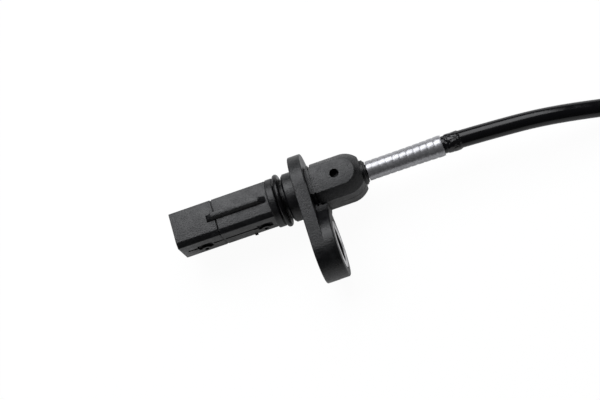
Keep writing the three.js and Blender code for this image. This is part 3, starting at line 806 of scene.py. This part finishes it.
def addSleeve():
    profile = [(sleeve["startX"], sleeve["bore"]), (sleeve["startX"], sleeve["radius"] - sleeve["startDrop"])]
    pitch = sleeve["length"] / sleeve["bands"]
    for band in range(sleeve["bands"]):
        x = sleeve["startX"] + band * pitch
        radius = sleeve["radius"] + sleeve["flare"] * (band / (sleeve["bands"] - 1)) ** 3
        profile += [
            (x + 0.12, radius - 0.02), (x + 0.3, radius), (x + pitch * 0.7, radius),
            (x + pitch * 0.82, radius - 0.06), (x + pitch * 0.9, radius - sleeve["grooveDepth"])]
    endX = sleeve["startX"] + sleeve["length"]
    endRadius = sleeve["radius"] + sleeve["flare"]
    soft = sleeve["endRound"]
    profile += [(endX - soft, endRadius), (endX, endRadius - soft), (endX, sleeve["bore"]), profile[0]]
    addPiece("ringed_sleeve", lathe(profile, 96), greySleeve, ["grey_sleeve"])


addSleeve()

wrap = {
    "startX": 40.7, "length": 4.7, "radius": 2.62, "bore": 2.2, "crumple": 0.16,
    "startDrop": 0.34, "endDrop": 0.22,
}


def addWrap():
    steps, start, length, bore = 20, wrap["startX"], wrap["length"], wrap["bore"]
    outside = []
    for i in range(steps + 1):
        t = i / steps
        drop = wrap["endDrop"] * smoothStep(t, 0.86, 1.0) + wrap["startDrop"] * (1 - smoothStep(t, 0.04, 0.2))
        outside.append((start + t * length, wrap["radius"] - drop))
    bm = lathe([(start, bore), *outside, (start + length, bore), (start, bore)], 96)
    for v in bm.verts:
        radius = math.hypot(v.co.y, v.co.z)
        if radius > bore + 0.1:                  # only the outside is crumpled
            folds = noise.noise(Vector((v.co.x * 0.9, v.co.y * 0.55, v.co.z * 0.55)))
            creases = abs(noise.noise(Vector((v.co.x * 1.6 + 7, v.co.y * 0.9, v.co.z * 0.9))))
            scale = 1 + wrap["crumple"] * (folds * 0.6 - creases * 0.5) / radius
            v.co.y *= scale
            v.co.z *= scale
    addPiece("tape_sleeve", bm, tape, ["tape_wrap"], 40)


addWrap()
print("seal, bush, sleeve and tape made")


# Plug on the far end
plug = {
    "place": (134.0921, -11.2940, 5.6), "turn": 56,
    "width": 15, "height": 12, "length": 26, "rearLength": 9, "rearWidth": 11.4, "rearHeight": 10.4,
    "corner": 1.6, "edgeRound": 0.3,
    "mouthWidth": 12, "mouthHeight": 9, "mouthDepth": 14, "mouthCorner": 0.8,
    "latchStart": 12, "latchLength": 7, "latchWidth": 5, "latchHeight": 1.6,
    "latchSink": 0.5, "latchFoot": 0.3, "latchRamp": 1, "latchRound": 0.25,
    "ribs": 4, "ribStart": 1.2, "ribPitch": 1.9, "ribLength": 0.9, "ribProud": 0.4, "ribHalfHeight": 3.4,
    "ribRound": 0.18,
    "slotCentres": (-2.5, 2.5), "slotHalfWidth": 0.95, "slotHalfHeight": 0.6,
    "grommetRadius": 4, "grommetGap": 0.25, "grommetStart": 0.3, "grommetEnd": 6,
    "sealRings": 3, "sealRingStart": 0.8, "sealRingPitch": 1.7, "cableRadius": 2.4, "cableGap": 0.15,
}


def plugTurn():
    return Matrix.Translation(plug["place"]) @ Matrix.Rotation(math.radians(plug["turn"]), 4, "Z")


def roundedBlock(low, high, corner):
    bm = blockSolid(low, high)
    along = [e for e in bm.edges if abs(e.verts[0].co.x - e.verts[1].co.x) > 1e-4]
    bmesh.ops.bevel(
        bm, geom=along, offset=corner, offset_type="OFFSET", segments=5, profile=0.5, affect="EDGES",
        clamp_overlap=True, material=-1)
    return bm


def addPlug():
    p = plug
    halfW, halfH = p["width"] / 2, p["height"] / 2
    rearW, rearH = p["rearWidth"] / 2, p["rearHeight"] / 2
    mouthW, mouthH = p["mouthWidth"] / 2, p["mouthHeight"] / 2
    slotW, slotH, soft = p["slotHalfWidth"], p["slotHalfHeight"], p["edgeRound"]
    mouthStart = p["length"] - p["mouthDepth"]
    front = roundEdges(
        roundedBlock((p["rearLength"], -halfW, -halfH), (p["length"], halfW, halfH), p["corner"]),
        soft, 2, 60)
    front = carve(
        front,
        roundedBlock((mouthStart, -mouthW, -mouthH), (p["length"] + 2, mouthW, mouthH), p["mouthCorner"]),
        *[blockSolid((4, y - slotW, -slotH), (mouthStart + 1, y + slotW, slotH)) for y in p["slotCentres"]])
    rear = roundEdges(
        roundedBlock((0, -rearW, -rearH), (p["rearLength"] + 1, rearW, rearH), p["corner"]), soft, 2, 60)
    rear = carve(rear, rodAlong("X", (3.5, 0, 0), p["grommetRadius"] + p["grommetGap"], 9, 64))
    latch = blockSolid(
        (p["latchStart"], -p["latchWidth"] / 2, halfH - p["latchSink"]),
        (p["latchStart"] + p["latchLength"], p["latchWidth"] / 2, halfH + p["latchHeight"]))
    for v in latch.verts:
        if v.co.z > halfH and v.co.x > p["latchStart"] + p["latchRamp"]:
            v.co.z = halfH + p["latchFoot"]
    gripRibs = []
    for i in range(p["ribs"]):
        x, tall = p["ribStart"] + p["ribPitch"] * i, p["ribHalfHeight"]
        for side in (-rearW, rearW):
            low = (x, side - p["ribProud"], -tall)
            high = (x + p["ribLength"], side + p["ribProud"], tall)
            gripRibs.append(roundEdges(blockSolid(low, high), p["ribRound"], 2))
    whole = merged(front, rear, roundEdges(latch, p["latchRound"], 2), *gripRibs)
    whole.transform(plugTurn())
    shell = addPiece("plug_shell", whole, plugPlastic, ["connector_housing"])
    outer, inner = p["grommetRadius"], p["cableRadius"] + p["cableGap"]
    start, end = p["grommetStart"], p["grommetEnd"]
    profile = [(start, inner), (start, outer - 0.5), (start + 0.2, outer - 0.3)]
    for i in range(p["sealRings"]):
        x = p["sealRingStart"] + p["sealRingPitch"] * i
        profile += [(x, outer - 0.35), (x + 0.4, outer), (x + 0.9, outer), (x + 1.3, outer - 0.35)]
    profile += [(end, outer - 0.4), (end, inner), (start, inner)]
    ring = lathe(profile, 64)
    ring.transform(plugTurn())
    grommet = addPiece("plug_seal", ring, sealRubber, ["cable_grommet"])
    return [shell, grommet]


plugPieces = addPlug()
print("plug made")


# Materials of the pieces that keep their own shape
cadLooks = {
    "hall_chip": chipResin, "bias_magnet": magnetMetal, "element_carrier": carrierResin,
    "lead_a": tinnedCopper, "lead_b": tinnedCopper, "crimp_a": tinnedCopper, "crimp_b": tinnedCopper,
    "capacitor": capacitorGlaze, "core_a": coreInsulation, "core_b": coreInsulation,
    "inner_cable": cableJacket, "terminal_a": tinnedCopper, "terminal_b": tinnedCopper,
    "terminal_lock": lockPlastic,
}
for node, material in cadLooks.items():
    data = bpy.data.objects[node].data
    data.materials.clear()
    data.materials.append(material)


# Floor, world and lights
studio = {
    "floorSize": 6.0, "floorDrop": 0.0002,
    "floorGlow": 0.96, "floorShade": 0.06, "floorColor": 0.8, "floorMirror": 0.32,
    "worldLight": 0.02, "worldMirror": 0.03, "lampColor": (0.965, 0.975, 1.0),
    "lamps": [                                   # place, aim, width, depth, brightness
        ((-0.12, 0.6, 0.84), (0.0, 0.02, 0.0), 1.3, 0.85, 3.7),
    ],
}


def addFloor():
    bm = bmesh.new()
    bmesh.ops.create_grid(bm, x_segments=1, y_segments=1, size=studio["floorSize"] / 2)
    mesh = bpy.data.meshes.new("floor")
    bm.to_mesh(mesh)
    bm.free()
    floor = bpy.data.objects.new("floor", mesh)
    floor.location.z = -studio["floorDrop"]
    scene.collection.objects.link(floor)
    material, net = newMaterial("floor")
    seen = net.shownRays(studio["floorMirror"])
    paint = net.node("BsdfDiffuse", None, (studio["floorColor"],) * 3)
    glow = net.node("Emission", None, (1.0, 1.0, 1.0), studio["floorGlow"])
    faint = net.node("BsdfDiffuse", None, (studio["floorShade"],) * 3)
    bright = net.node("AddShader", None, glow, faint)
    net.node("OutputMaterial", None, net.node("MixShader", None, seen, paint, bright))
    mesh.materials.append(material)


def addWorld():
    world = bpy.data.worlds.new("studio")
    world.use_nodes = True
    net = Net(world.node_tree)
    dim = net.node("Background", None, (1.0, 1.0, 1.0), studio["worldLight"])
    white = net.node("Background", None, (1.0, 1.0, 1.0), 1.0)
    shown = net.shownRays(studio["worldMirror"])
    net.node("OutputWorld", None, net.node("MixShader", None, shown, dim, white))
    scene.world = world


def addLamp(place, aim, width, depth, brightness):
    data = bpy.data.lights.new("lamp", "AREA")
    data.shape = "RECTANGLE"
    data.size, data.size_y = width, depth
    data.energy = brightness * math.pi * width * depth
    data.color = studio["lampColor"]
    lamp = bpy.data.objects.new("lamp", data)
    scene.collection.objects.link(lamp)
    lamp.location = place
    lamp.rotation_mode = "QUATERNION"
    lamp.rotation_quaternion = (Vector(aim) - Vector(place)).to_track_quat("-Z", "Y")


addFloor()
addWorld()
for values in studio["lamps"]:
    addLamp(*values)
print("floor and lights set")
